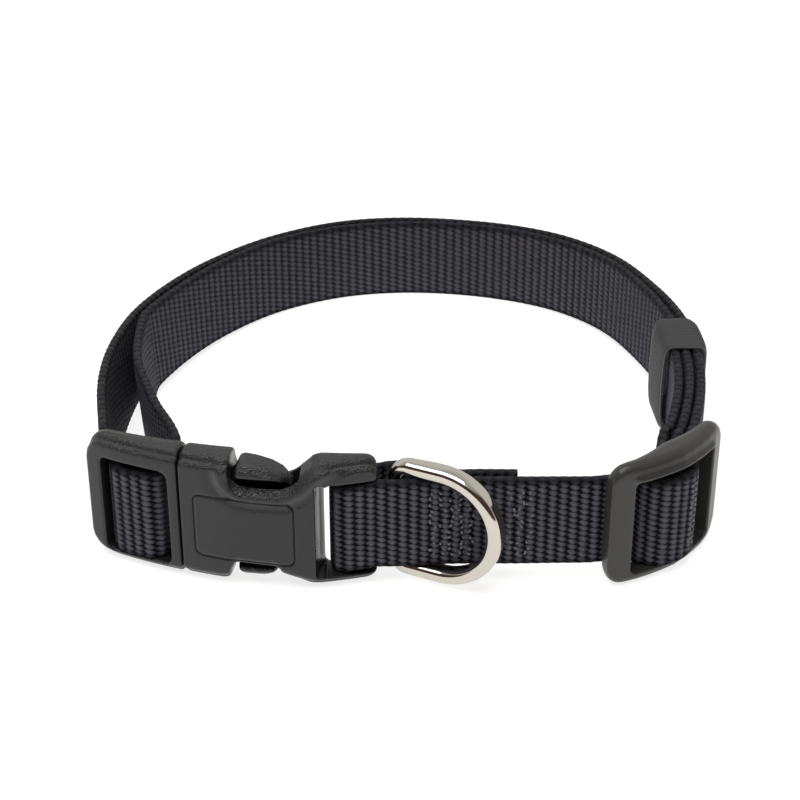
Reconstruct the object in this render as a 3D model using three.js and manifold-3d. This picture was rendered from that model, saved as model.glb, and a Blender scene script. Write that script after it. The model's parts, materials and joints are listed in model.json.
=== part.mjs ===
// An adjustable webbing collar for a dog, closed and standing on its edge, in millimetres with +Z up.
// One strip of webbing starts as a tail behind the front, turns round the end bar of the buckle's socket,
// holds the D-ring in a sewn pocket, passes through the slide, goes round the back to the prong half of the
// buckle, turns round its bar, comes back along the inside, and ends sewn round the slide's middle bar.
import * as THREE from "three";
import { mergeVertices } from "three/addons/utils/BufferGeometryUtils.js";
import Module from "manifold-3d";

const wasm = await Module();
wasm.setup();

// Webbing and the loop it makes
const webbingWidth = 20;
const webbingThickness = 2.2;
const loopWidth = 139.4;
const loopDepth = 141.7;
const clearance = 0.3;
const slotClearance = 0.4;
const slotDrop = 1.8;

// Side-release buckle, measured along its own curve
const buckleHeight = 30;
const buckleBend = 105;
const buckleTurn = -10.4;
const prongFrameLength = 21.4;
const socketLength = 40.4;
const prongEndBar = 3.6;
const prongInnerSlot = 3.2;
const prongBarWidth = 7.9;
const prongBarThickness = 2.6;
const prongOuterSlot = 4.3;
const prongFrameCorner = 4.2;
const socketWindow = 5.3;
const socketWindowStart = 27.7;
const socketWindowSlope = 1.7;
const socketBarWidth = 6.2;
const socketBarThickness = 3;
const socketCavityDepth = 25;
const socketCavityThickness = 5;
const socketWall = 4.4;
const catchStart = 11.1;
const catchLength = 12.2;
const catchHeight = 3.2;
const lowerCatchHeight = 2.2;
const catchFront = 4;
const catchBack = -3;
const thumbCutDepth = 6.3;
const lowerCutDepth = 4.6;
const thumbStandDown = 1.2;
const lowerStandDown = 1.8;
const prongWidth = 3.4;
const guideWidth = 5;

// Slide with three bars
const slideHeight = 29;
const slideBend = 42.75;
const slideTurn = 41.2;
const slideLength = 32.6;
const slideLeftBar = 5.6;
const slideRightBar = 4.5;
const slideBarWidth = 5;
const slideBarThickness = 2.2;
const slideCorner = 4.2;

// D-ring of flattened wire
const ringOpeningHeight = 21.4;
const ringOpeningDepth = 19.1;
const ringWire = 3.1;
const ringWireDepth = 3.6;
const ringWireCorner = 0.8;
const ringBarCorner = 3;
const ringSwing = 25;
const ringFromSocket = 4.1;

// Keeper loop
const keeperLength = 17.5;
const keeperWall = 1.1;
const keeperSlack = 0.4;
const keeperBend = 72;
const keeperPlace = -0.01;

const halfWidth = loopWidth / 2;
const halfDepth = loopDepth / 2;
const layerPitch = webbingThickness + clearance;
const layerOffset = webbingThickness / 2 + slotClearance;
const buckleLength = prongFrameLength + socketLength;

// The loop's outer layer seen from above, from the slide round the back to the buckle:
// across and along are shares of half the loop, lean is the upper edge's outward shift as a share of the width
const outerRun = [
  { across: 0.904, along: -0.57, lean: 0 },
  { across: 0.95, along: -0.347, lean: 0 },
  { across: 0.967, along: -0.107, lean: 0 },
  { across: 0.947, along: 0.133, lean: 0 },
  { across: 0.889, along: 0.364, lean: 0 },
  { across: 0.777, along: 0.624, lean: 0 },
  { across: 0.62, along: 0.799, lean: 0 },
  { across: 0.433, along: 0.908, lean: 0 },
  { across: 0.205, along: 0.97, lean: 0 },
  { across: -0.037, along: 0.982, lean: 0 },
  { across: -0.273, along: 0.934, lean: 0 },
  { across: -0.501, along: 0.806, lean: 0 },
  { across: -0.686, along: 0.614, lean: 0.01 },
  { across: -0.822, along: 0.398, lean: 0.03 },
  { across: -0.916, along: 0.168, lean: 0.06 },
  { across: -0.956, along: -0.078, lean: 0.09 },
  { across: -0.96, along: -0.304, lean: 0.09 },
  { across: -0.94, along: -0.516, lean: 0.04 },
];
const joinedRows = 15;
const sewnTailRow = 2;

// The inner layer where it leaves the buckle and has not yet met the outer one
const innerRun = [
  { across: -0.723, along: -0.623, lean: 0 },
  { across: -0.772, along: -0.502, lean: 0.02 },
  { across: -0.826, along: -0.325, lean: 0.05 },
  { across: -0.868, along: -0.156, lean: 0.07 },
];

// The front between the D-ring and the slide
const frontRun = [
  { across: 0.072, along: -0.943, lean: 0 },
  { across: 0.19, along: -0.938, lean: 0 },
  { across: 0.333, along: -0.937, lean: 0 },
  { across: 0.445, along: -0.934, lean: 0 },
];

const radians = (degrees) => (degrees * Math.PI) / 180;

// A curved piece of hardware: place(s, n) is the point s along its curve and n outwards from its middle
function hardwareFrame(middle, turn, bend, length) {
  const normal = (angle) => new THREE.Vector2(Math.sin(angle), -Math.cos(angle));
  const centre = middle.clone().addScaledVector(normal(radians(turn)), -bend);
  const place = (s, n) => {
    const angle = radians(turn) + (s - length / 2) / bend;
    return centre.clone().addScaledVector(normal(angle), bend + n);
  };
  return { place };
}

const shareOfLoop = (across, along) => new THREE.Vector2(across * halfWidth, along * halfDepth);
const buckleFrame = hardwareFrame(shareOfLoop(-0.523, -0.908), buckleTurn, buckleBend, buckleLength);
const slideFrame = hardwareFrame(shareOfLoop(0.794, -0.85), slideTurn, slideBend, slideLength);

// The webbing's lower edge: lifted to the middle of the hardware in front, on the surface at the back,
// and sunk again where the webbing lies low in the slots of the buckle and the slide
const frontLift = (slideHeight - webbingWidth) / 2;
const backReach = 0.982 * halfDepth + webbingThickness / 2;
const levelReach = 0.62 * halfDepth;
const sunkAtBuckle = { from: -0.065 * halfWidth, to: -0.245 * halfWidth };
const sunkAtSlide = { from: 0.575 * halfWidth, to: 0.72 * halfWidth };
const sunkInFront = { from: -0.635 * halfDepth, to: -0.79 * halfDepth };
const easing = (value, { from, to }) => THREE.MathUtils.smoothstep((value - from) / (to - from), 0, 1);

function lowerEdge({ x, y }) {
  const share = (backReach - y) / (backReach + levelReach);
  const sunk = Math.max(easing(x, sunkAtBuckle), easing(x, sunkAtSlide)) * easing(y, sunkInFront);
  return frontLift * THREE.MathUtils.clamp(share, 0, 1) - slotDrop * sunk;
}

// Closes rings of corners into a solid, joined end to end when looped, otherwise capped
function solidFromRings(rings, looped) {
  const count = rings[0].length;
  const positions = rings.flat().flatMap((corner) => [corner.x, corner.y, corner.z]);
  const faces = [];
  const last = looped ? rings.length : rings.length - 1;
  for (let i = 0; i < last; i += 1) {
    const next = (i + 1) % rings.length;
    for (let j = 0; j < count; j += 1) {
      const k = (j + 1) % count;
      faces.push(i * count + j, i * count + k, next * count + k);
      faces.push(i * count + j, next * count + k, next * count + j);
    }
  }
  if (!looped) {
    const end = (rings.length - 1) * count;
    for (let j = 1; j < count - 1; j += 1) {
      faces.push(0, j + 1, j);
      faces.push(end, end + j, end + j + 1);
    }
  }
  const geometry = new THREE.BufferGeometry();
  geometry.setAttribute("position", new THREE.Float32BufferAttribute(positions, 3));
  geometry.setIndex(signedVolume(positions, faces) < 0 ? faces.reverse() : faces);
  return geometry;
}

function signedVolume(positions, faces) {
  const corner = (index) => new THREE.Vector3().fromArray(positions, 3 * index);
  let total = 0;
  for (let i = 0; i < faces.length; i += 3) {
    total += corner(faces[i]).dot(corner(faces[i + 1]).cross(corner(faces[i + 2])));
  }
  return total / 6;
}

function toManifold(geometry) {
  const bare = geometry.clone();
  bare.deleteAttribute("normal");
  bare.deleteAttribute("uv");
  const merged = mergeVertices(bare, 1e-4);
  const vertProperties = new Float32Array(merged.attributes.position.array);
  const triVerts = new Uint32Array(merged.index.array);
  return new wasm.Manifold(new wasm.Mesh({ numProp: 3, vertProperties, triVerts }));
}

function fromManifold(solid) {
  const mesh = solid.getMesh();
  const geometry = new THREE.BufferGeometry();
  geometry.setAttribute("position", new THREE.Float32BufferAttribute(mesh.vertProperties, 3));
  geometry.setIndex(Array.from(mesh.triVerts));
  return geometry;
}

// The rounded section of a piece of hardware, from n0 to n1 outwards and z0 to z1 up
function roundedSection(frame, s, n0, n1, z0, z1, corner) {
  const radius = Math.min(corner, (n1 - n0) / 2 - 0.01, (z1 - z0) / 2 - 0.01);
  const stepsPerCorner = 3;
  const middles = [
    [n1 - radius, z1 - radius],
    [n0 + radius, z1 - radius],
    [n0 + radius, z0 + radius],
    [n1 - radius, z0 + radius],
  ];
  return middles.flatMap(([n, z], quarter) =>
    Array.from({ length: stepsPerCorner + 1 }, (_, step) => {
      const angle = (quarter + step / stepsPerCorner) * (Math.PI / 2);
      const spot = frame.place(s, n + radius * Math.cos(angle));
      return new THREE.Vector3(spot.x, spot.y, z + radius * Math.sin(angle));
    }),
  );
}

// A bent block: each row gives its place along the curve, its reach outwards and its heights
function bentBlock(frame, rows, corner) {
  const longestStep = 4;
  const sections = [];
  rows.forEach((row, i) => {
    const before = rows[Math.max(0, i - 1)];
    const steps = Math.max(1, Math.ceil((row.s - before.s) / longestStep));
    for (let step = i === 0 ? steps : 1; step <= steps; step += 1) {
      const at = (name) => THREE.MathUtils.lerp(before[name], row[name], step / steps);
      sections.push(roundedSection(frame, at("s"), at("back"), at("front"), at("low"), at("high"), corner));
    }
  });
  return toManifold(solidFromRings(sections, false));
}

// Rows for a bent block whose outline seen from outside has rounded corners at its two ends
function plateRows({ start, end, low, high, startCorner, endCorner, front, back }) {
  const places = new Map();
  const quarterSteps = 5;
  const inset = (radius, step) => ({
    along: radius * (1 - Math.cos((step / quarterSteps) * (Math.PI / 2))),
    up: radius * (1 - Math.sin((step / quarterSteps) * (Math.PI / 2))),
  });
  for (let step = 0; step <= quarterSteps; step += 1) {
    const left = inset(startCorner, step);
    const right = inset(endCorner, step);
    places.set(start + left.along, left.up);
    places.set(end - right.along, right.up);
  }
  const middleSteps = 8;
  for (let step = 1; step < middleSteps; step += 1) {
    const from = start + startCorner;
    const span = end - endCorner - from;
    places.set(from + (step / middleSteps) * span, 0);
  }
  return [...places.keys()]
    .sort((a, b) => a - b)
    .map((s) => ({
      s,
      front: front(s),
      back: back(s),
      low: low + places.get(s),
      high: high - places.get(s),
    }));
}

// Straight interpolation in a short table of places along the piece and reaches outwards
function reachAt(table, length) {
  return (s) => {
    const share = THREE.MathUtils.clamp(s / length, 0, 1);
    const upper = Math.max(1, table.findIndex((row) => row.share >= share));
    const a = table[upper - 1];
    const b = table[upper];
    const t = (share - a.share) / (b.share - a.share);
    return THREE.MathUtils.lerp(a.reach, b.reach, t);
  };
}

// How far the buckle stands outwards and inwards from its middle curve, along its whole length
const buckleFront = reachAt(
  [
    { share: 0, reach: 2.3 },
    { share: 0.1, reach: 3 },
    { share: 0.33, reach: 3.7 },
    { share: 0.5, reach: 4.5 },
    { share: 0.68, reach: 4.8 },
    { share: 0.8, reach: 4.6 },
    { share: 1, reach: 2.4 },
  ],
  buckleLength,
);
const buckleBack = reachAt(
  [
    { share: 0, reach: -2.3 },
    { share: 0.33, reach: -3.6 },
    { share: 0.6, reach: -4 },
    { share: 0.8, reach: -3.4 },
    { share: 1, reach: -2.4 },
  ],
  buckleLength,
);

const slotLow = frontLift - slotDrop - slotClearance;
const slotHigh = frontLift + webbingWidth + slotClearance;
const through = 12;

// The prong half: a frame with a bar for the webbing, two sprung prongs with thumb catches, and a guide
const prongBarStart = prongEndBar + prongInnerSlot;
const prongBarSet = -0.9;
const prongBarFront = prongBarSet + prongBarThickness / 2;

// The thumb catches along their length: drop is how far they fall away from the buckle's edge,
// proud is how far they swell from the thickness of the prong to that of the thumb's pad
const upperCatch = [
  { share: 0.04, drop: 1.5, proud: 0 },
  { share: 0.07, drop: 0.4, proud: 1 },
  { share: 0.14, drop: 0, proud: 1 },
  { share: 0.35, drop: 0.3, proud: 1 },
  { share: 0.62, drop: 1.2, proud: 1 },
  { share: 0.82, drop: 2.6, proud: 0.7 },
  { share: 0.92, drop: 3.7, proud: 0 },
  { share: 1, drop: 4.6, proud: 0 },
];
const lowerCatch = [
  { share: 0.04, drop: 1.5, proud: 0 },
  { share: 0.07, drop: 0.4, proud: 1 },
  { share: 0.14, drop: 0, proud: 1 },
  { share: 0.5, drop: 0, proud: 1 },
  { share: 0.65, drop: 0.5, proud: 1 },
  { share: 0.73, drop: 1.5, proud: 0 },
  { share: 0.78, drop: 2.4, proud: 0 },
  { share: 1, drop: 4.6, proud: 0 },
];

function prongHalf() {
  const frameEnd = prongFrameLength - clearance / 2;
  let solid = bentBlock(
    buckleFrame,
    plateRows({
      start: 0,
      end: frameEnd,
      low: 0,
      high: buckleHeight,
      startCorner: prongFrameCorner,
      endCorner: 0.8,
      front: buckleFront,
      back: buckleBack,
    }),
    2.4,
  );
  const window = plateRows({
    start: prongEndBar,
    end: prongBarStart + prongBarWidth + prongOuterSlot,
    low: slotLow,
    high: slotHigh,
    startCorner: 1.2,
    endCorner: 1.8,
    front: () => through,
    back: () => -through,
  });
  solid = solid.subtract(bentBlock(buckleFrame, window, 0.1));
  solid = solid.add(barAcross(buckleFrame, prongBarStart, prongBarWidth, prongBarSet, prongBarThickness));
  const reach = socketCavityThickness / 2 - slotClearance;
  const prongRow = (fromSplit, low, high, proud = 0) => ({
    s: prongFrameLength + fromSplit,
    front: THREE.MathUtils.lerp(reach, catchFront, proud),
    back: THREE.MathUtils.lerp(-reach, catchBack, proud),
    low,
    high,
  });
  const cavityHigh = buckleHeight - socketWall - slotClearance;
  const springLow = cavityHigh - prongWidth;
  const tipHeight = 0.9;
  const catchRows = (table, standDown, height) =>
    table.map(({ share, drop, proud }) => {
      const high = buckleHeight - standDown - drop;
      const low = Math.min(buckleHeight - standDown - height, high - tipHeight);
      return prongRow(catchStart + share * catchLength, low, high, proud);
    });
  const spring = [
    prongRow(-1, springLow, cavityHigh),
    prongRow(catchStart, springLow, cavityHigh),
  ];
  const upperProng = [...spring, ...catchRows(upperCatch, thumbStandDown, catchHeight)];
  const lowerRows = [...spring, ...catchRows(lowerCatch, lowerStandDown, lowerCatchHeight)];
  const lowerProng = lowerRows.map((row) => ({
    ...row,
    low: buckleHeight - row.high,
    high: buckleHeight - row.low,
  }));
  const guideLow = (buckleHeight - guideWidth) / 2;
  const guide = [
    prongRow(-1, guideLow, guideLow + guideWidth),
    prongRow(socketCavityDepth * 0.6, guideLow, guideLow + guideWidth),
    prongRow(socketCavityDepth * 0.72, guideLow + 1.2, guideLow + guideWidth - 1.2),
  ];
  const root = [
    prongRow(-1, buckleHeight - cavityHigh, cavityHigh),
    prongRow(1.6, buckleHeight - cavityHigh, cavityHigh),
  ];
  for (const rows of [upperProng, lowerProng, guide, root]) {
    solid = solid.add(bentBlock(buckleFrame, rows, 0.9));
  }
  return fromManifold(solid);
}

// A straight bar across a piece's slots, let into its two rails
function barAcross(frame, start, width, set, thickness) {
  const half = thickness / 2;
  const letIn = 1;
  const roundedHalf = (s) => {
    const inward = Math.min(s - start, start + width - s, half);
    return half * Math.sqrt(Math.max(0.05, 1 - (1 - inward / half) ** 2));
  };
  const rows = plateRows({
    start,
    end: start + width,
    low: slotLow - letIn,
    high: slotHigh + letIn,
    startCorner: 0,
    endCorner: 0,
    front: (s) => set + roundedHalf(s),
    back: (s) => set - roundedHalf(s),
  });
  return bentBlock(frame, rows, 0.05);
}

// The socket half: a hollow body open at the split, cut out for the thumb catches, with an end bar
const socketBarStart = socketWindowStart + socketWindow;
const socketBarSet = -1.1;
const socketBarFront = socketBarSet + socketBarThickness / 2;
const socketBarBack = socketBarSet - socketBarThickness / 2;

function socketHalf() {
  const start = prongFrameLength + clearance / 2;
  let solid = bentBlock(
    buckleFrame,
    plateRows({
      start,
      end: buckleLength,
      low: 0,
      high: buckleHeight,
      startCorner: 0.8,
      endCorner: 2.4,
      front: buckleFront,
      back: buckleBack,
    }),
    2.6,
  );
  const cutRow = (fromSplit, low, high, reach) => ({
    s: prongFrameLength + fromSplit,
    front: reach,
    back: -reach,
    low,
    high,
  });
  const cavityReach = socketCavityThickness / 2;
  const beyond = buckleHeight + 2;
  const below = -2;
  const cutEnd = catchStart + catchLength;
  const cavity = [
    cutRow(-1, socketWall, buckleHeight - socketWall, cavityReach),
    cutRow(socketCavityDepth, socketWall, buckleHeight - socketWall, cavityReach),
  ];
  const thumbFloor = buckleHeight - thumbCutDepth;
  const upperCut = [
    cutRow(catchStart - 0.5, thumbFloor + 3.4, beyond, through),
    cutRow(catchStart - 0.2, thumbFloor + 2, beyond, through),
    cutRow(catchStart + 0.6, thumbFloor + 0.9, beyond, through),
    cutRow(catchStart + 2, thumbFloor + 0.2, beyond, through),
    cutRow(catchStart + catchLength * 0.4, thumbFloor, beyond, through),
    cutRow(catchStart + catchLength * 0.8, thumbFloor, beyond, through),
    cutRow(cutEnd - 1.5, thumbFloor + 0.4, beyond, through),
    cutRow(cutEnd + 0.1, thumbFloor + 1.2, beyond, through),
    cutRow(cutEnd + 2.1, thumbFloor + 3, beyond, through),
    cutRow(cutEnd + 3.9, thumbFloor + 4.9, beyond, through),
    cutRow(cutEnd + 5.5, thumbFloor + 6, beyond, through),
    cutRow(cutEnd + 6.3, beyond - 0.6, beyond, through),
  ];
  const lowerCutEnd = catchStart + catchLength * 0.79;
  const lowerCut = [
    cutRow(catchStart - 3.8, below, -0.6, through),
    cutRow(catchStart - 1.2, below, 0.8, through),
    cutRow(catchStart - 0.2, below, lowerCutDepth - 0.4, through),
    cutRow(catchStart + 0.2, below, lowerCutDepth, through),
    cutRow(lowerCutEnd - 0.4, below, lowerCutDepth - 0.3, through),
    cutRow(lowerCutEnd, below, lowerCutDepth - 1.7, through),
    cutRow(lowerCutEnd + 4, below, lowerCutDepth - 3.3, through),
    cutRow(lowerCutEnd + 8, below, -0.6, through),
  ];
  const catchWay = [
    cutRow(catchStart - 0.5, below, socketWall + 1, cavityReach),
    cutRow(cutEnd + 0.6, below, socketWall + 1, cavityReach),
  ];
  for (const rows of [cavity, upperCut, lowerCut, catchWay]) {
    solid = solid.subtract(bentBlock(buckleFrame, rows, 0.1));
  }
  const windowStart = prongFrameLength + socketWindowStart;
  const slopeRow = (share, depth) => ({
    s: windowStart + share * socketWindowSlope,
    front: through,
    back: depth,
    low: slotLow,
    high: slotHigh,
  });
  const slope = [slopeRow(0, 4), slopeRow(0.4, 0.4), slopeRow(1.1, -3)];
  solid = solid.subtract(bentBlock(buckleFrame, slope, 0.1));
  const window = plateRows({
    start: windowStart + socketWindowSlope,
    end: buckleLength + 3,
    low: slotLow,
    high: slotHigh,
    startCorner: 1.4,
    endCorner: 0,
    front: () => through,
    back: () => -through,
  });
  solid = solid.subtract(bentBlock(buckleFrame, window, 0.1));
  const barStart = prongFrameLength + socketBarStart;
  solid = solid.add(barAcross(buckleFrame, barStart, socketBarWidth, socketBarSet, socketBarThickness));
  return fromManifold(solid);
}

// The slide: a bowed frame whose middle bar carries the sewn end of the webbing
const slideFront = reachAt(
  [
    { share: 0, reach: 2 },
    { share: 0.2, reach: 2.7 },
    { share: 0.5, reach: 3.3 },
    { share: 0.8, reach: 2.9 },
    { share: 1, reach: 2.1 },
  ],
  slideLength,
);
const slideBack = reachAt(
  [
    { share: 0, reach: -1.2 },
    { share: 0.18, reach: -1.4 },
    { share: 0.5, reach: -3.3 },
    { share: 0.85, reach: -1.9 },
    { share: 1, reach: -1.7 },
  ],
  slideLength,
);
const slideBarStart = slideLength / 2 - slideBarWidth / 2;
const slideBarSet = -2.3;
const slideBarFront = slideBarSet + slideBarThickness / 2;
const slideBarBack = slideBarSet - slideBarThickness / 2;

function slidePiece() {
  let solid = bentBlock(
    slideFrame,
    plateRows({
      start: 0,
      end: slideLength,
      low: 0,
      high: slideHeight,
      startCorner: slideCorner,
      endCorner: slideCorner,
      front: slideFront,
      back: slideBack,
    }),
    2,
  );
  const window = plateRows({
    start: slideLeftBar,
    end: slideLength - slideRightBar,
    low: slotLow,
    high: slotHigh,
    startCorner: 1.4,
    endCorner: 1.4,
    front: () => through,
    back: () => -through,
  });
  solid = solid.subtract(bentBlock(slideFrame, window, 0.1));
  solid = solid.add(barAcross(slideFrame, slideBarStart, slideBarWidth, slideBarSet, slideBarThickness));
  return fromManifold(solid);
}

// The D-ring: flattened wire round a straight bar, two short legs and a half-round bow
const ringHalfHeight = (ringOpeningHeight + ringWire) / 2;
const ringReach = ringOpeningDepth + ringWire;
const ringBarReach =
  Math.hypot(ringWireDepth / 2 - ringWireCorner, ringWire / 2 - ringWireCorner) + ringWireCorner;
const ringSet = -0.9;
const ringPlace = buckleFrame.place(buckleLength + ringFromSocket, ringSet);

function ringPiece() {
  const outline = new THREE.Path();
  outline.moveTo(0, 0);
  outline.lineTo(0, -(ringHalfHeight - ringBarCorner));
  outline.absarc(ringBarCorner, -(ringHalfHeight - ringBarCorner), ringBarCorner, Math.PI, 1.5 * Math.PI);
  outline.lineTo(ringReach - ringHalfHeight, -ringHalfHeight);
  outline.absarc(ringReach - ringHalfHeight, 0, ringHalfHeight, -Math.PI / 2, Math.PI / 2);
  outline.lineTo(ringBarCorner, ringHalfHeight);
  outline.absarc(ringBarCorner, ringHalfHeight - ringBarCorner, ringBarCorner, Math.PI / 2, Math.PI);
  outline.lineTo(0, 0);
  const stations = 60;
  const rings = Array.from({ length: stations }, (_, i) => {
    const spot = outline.getPointAt(i / stations);
    const tangent = outline.getTangentAt(i / stations);
    return wireSection().map(
      ([side, depth]) => new THREE.Vector3(spot.x + side * tangent.y, depth, spot.y - side * tangent.x),
    );
  });
  return solidFromRings(rings, true);
}

function wireSection() {
  const quarterSteps = 2;
  const across = ringWire / 2 - ringWireCorner;
  const deep = ringWireDepth / 2 - ringWireCorner;
  return [
    [across, deep],
    [-across, deep],
    [-across, -deep],
    [across, -deep],
  ].flatMap(([side, depth], quarter) =>
    Array.from({ length: quarterSteps + 1 }, (_, step) => {
      const angle = (quarter + step / quarterSteps) * (Math.PI / 2);
      return [side + ringWireCorner * Math.cos(angle), depth + ringWireCorner * Math.sin(angle)];
    }),
  );
}

// The webbing's route seen from above, as points of place and lean
const looseRow = (row) => {
  const spot = shareOfLoop(row.across, row.along);
  return new THREE.Vector3(spot.x, spot.y, row.lean * webbingWidth);
};

const onPiece = (frame, s, n) => {
  const spot = frame.place(s, n);
  return new THREE.Vector3(spot.x, spot.y, 0);
};

// Part of a turn round a bar's edge, between two angles in the piece's own s and n
function turnRound(frame, s, n, radius, from, to) {
  const steps = Math.ceil(Math.abs(to - from) / 30);
  return Array.from({ length: steps + 1 }, (_, i) => {
    const angle = radians(from + (i / steps) * (to - from));
    return onPiece(frame, s + radius * Math.cos(angle), n + radius * Math.sin(angle));
  });
}

const smoothRoute = (points) => {
  const route = new THREE.CatmullRomCurve3(points, false, "centripetal");
  route.arcLengthDivisions = 3000;
  return route;
};

function nearestShare(route, point) {
  const fineSteps = 1600;
  const fine = Array.from({ length: fineSteps + 1 }, (_, i) => route.getPointAt(i / fineSteps));
  const away = (spot) => Math.hypot(spot.x - point.x, spot.y - point.y);
  return fine.reduce((best, spot, i) => (away(spot) < away(fine[best]) ? i : best), 0) / fineSteps;
}

// Points of a layer that lies beside a route on its left, from the route's place nearest one point to another
function layerBeside(route, from, to, distance, spacing) {
  const first = nearestShare(route, from);
  const last = nearestShare(route, to);
  const steps = Math.ceil((Math.abs(last - first) * route.getLength()) / spacing);
  return Array.from({ length: steps + 1 }, (_, i) => {
    const share = THREE.MathUtils.lerp(first, last, i / steps);
    const spot = route.getPointAt(share);
    const way = route.getTangentAt(share).setZ(0).normalize();
    return new THREE.Vector3(spot.x - distance * way.y, spot.y + distance * way.x, spot.z);
  });
}

const frontPoints = frontRun.map(looseRow);
const outerPoints = outerRun.map(looseRow);

// From the ring's pocket over the slide, round the loop and over the prong half's bar
function carryingRoute() {
  const ringAt = buckleLength + ringFromSocket;
  const ringGap = ringBarReach + layerOffset;
  const pocketFront = [
    onPiece(buckleFrame, buckleLength - 2, socketBarFront + layerOffset),
    onPiece(buckleFrame, ringAt, ringSet + ringGap),
  ];
  const leftBack = slideBack(slideLeftBar) - layerOffset;
  const rightBack = slideBack(slideLength - slideRightBar) - layerOffset;
  const overSewn = slideBarThickness / 2 + layerOffset + layerPitch + 0.15;
  const barLeft = slideBarStart + slideBarThickness / 2;
  const barRight = slideBarStart + slideBarWidth - slideBarThickness / 2;
  const overSlide = [
    onPiece(slideFrame, 0, leftBack),
    onPiece(slideFrame, slideLeftBar - 1, leftBack - 0.3),
    onPiece(slideFrame, slideLeftBar + 1.6, leftBack + 0.15),
    onPiece(slideFrame, slideLeftBar + 4, leftBack + 2.4),
    ...turnRound(slideFrame, barLeft, slideBarSet, overSewn, 135, 90),
    ...turnRound(slideFrame, barRight, slideBarSet, overSewn + 0.2, 90, 45),
    onPiece(slideFrame, slideLength - slideRightBar - 3.4, rightBack + 1.7),
    onPiece(slideFrame, slideLength - slideRightBar - 0.6, rightBack - 0.2),
    onPiece(slideFrame, slideLength - slideRightBar / 2, rightBack - 0.5),
  ];
  const barEdge = prongBarThickness / 2;
  const prongFold = barEdge + layerOffset;
  const endBack = buckleBack(prongEndBar) - layerOffset;
  const farEdge = prongBarStart + prongBarWidth - barEdge;
  const overProngBar = [
    onPiece(buckleFrame, prongEndBar * 0.4, endBack - 0.1),
    onPiece(buckleFrame, prongEndBar - 0.2, endBack - 0.15),
    onPiece(buckleFrame, prongEndBar + prongInnerSlot * 0.34, endBack + 0.3),
    onPiece(buckleFrame, prongEndBar + prongInnerSlot * 0.52, endBack + 1.6),
    ...turnRound(buckleFrame, prongBarStart + barEdge, prongBarSet, prongFold, 180, 90),
    ...turnRound(buckleFrame, farEdge, prongBarSet, prongFold, 90, 0),
    onPiece(buckleFrame, farEdge + prongFold - 0.4, prongBarSet - 4),
    onPiece(buckleFrame, farEdge + prongFold - 1.5, prongBarSet - 10),
  ];
  const inner = innerRun.map(looseRow);
  return [...pocketFront, ...frontPoints, ...overSlide, ...outerPoints, ...overProngBar, ...inner];
}

const carryingPoints = carryingRoute();
const carrying = smoothRoute(carryingPoints);

function webbingRoute() {
  const socketFold = socketBarThickness / 2 + layerOffset;
  const socketEdge = prongFrameLength + socketBarStart + socketBarThickness / 2;
  const ringAt = buckleLength + ringFromSocket;
  const ringGap = ringBarReach + layerOffset;
  const tail = layerBeside(carrying, frontPoints[2], frontPoints[0], layerPitch + 0.1, 4).slice(0, -1);
  const pocketBack = [
    onPiece(buckleFrame, ringAt + 4.2, ringSet - ringGap + 1.1),
    onPiece(buckleFrame, ringAt, ringSet - ringGap),
    onPiece(buckleFrame, buckleLength - 2, socketBarBack - layerOffset),
  ];
  const socketTurn = turnRound(buckleFrame, socketEdge, socketBarSet, socketFold, 270, 90);
  const barLeft = slideBarStart + slideBarThickness / 2;
  const barFold = slideBarThickness / 2 + layerOffset;
  const rightBack = slideBack(slideLength - slideRightBar) - layerOffset;
  const overBar = onPiece(slideFrame, slideLength / 2, slideBarFront);
  const joined = [
    ...layerBeside(carrying, outerPoints[joinedRows - 1], outerPoints[0], layerPitch, 5),
    ...layerBeside(carrying, outerPoints[0], overBar, layerPitch, 2).slice(1, -1),
  ];
  const roundBar = turnRound(slideFrame, barLeft, slideBarSet, barFold, 90, 270);
  const towardTail = [
    onPiece(slideFrame, slideLength / 2 + 3, slideBarBack - layerOffset - 1),
    onPiece(slideFrame, slideLength - slideRightBar, rightBack - 2 * layerPitch - 0.8),
  ];
  const sewnTail = layerBeside(
    smoothRoute(joined),
    onPiece(slideFrame, slideLength - 1.5, rightBack - layerPitch),
    outerPoints[sewnTailRow],
    -layerPitch,
    3,
  );
  return smoothRoute([
    ...tail,
    ...pocketBack,
    ...socketTurn,
    ...carryingPoints,
    ...joined,
    ...roundBar,
    ...towardTail,
    ...sewnTail,
  ]);
}

// The keeper: a sleeve round the three layers beside the slide
function keeperPiece() {
  const share = nearestShare(carrying, shareOfLoop(1, keeperPlace));
  const spot = carrying.getPointAt(share);
  const way = carrying.getTangentAt(share);
  const turn = THREE.MathUtils.radToDeg(Math.atan2(way.y, way.x));
  const frame = hardwareFrame(new THREE.Vector2(spot.x, spot.y), turn, keeperBend, keeperLength);
  const sleeve = (extra, overrun) => {
    const aside = webbingThickness / 2 + keeperSlack + extra;
    const row = (s) => {
      const low = lowerEdge(frame.place(s, 0));
      return {
        s,
        front: aside,
        back: -2 * layerPitch - aside,
        low: low - keeperSlack - extra,
        high: low + webbingWidth + keeperSlack + extra,
      };
    };
    return bentBlock(frame, [row(-overrun), row(keeperLength + overrun)], 0.3 + extra);
  };
  return fromManifold(sleeve(keeperWall, 0).subtract(sleeve(0, 1)));
}

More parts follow.
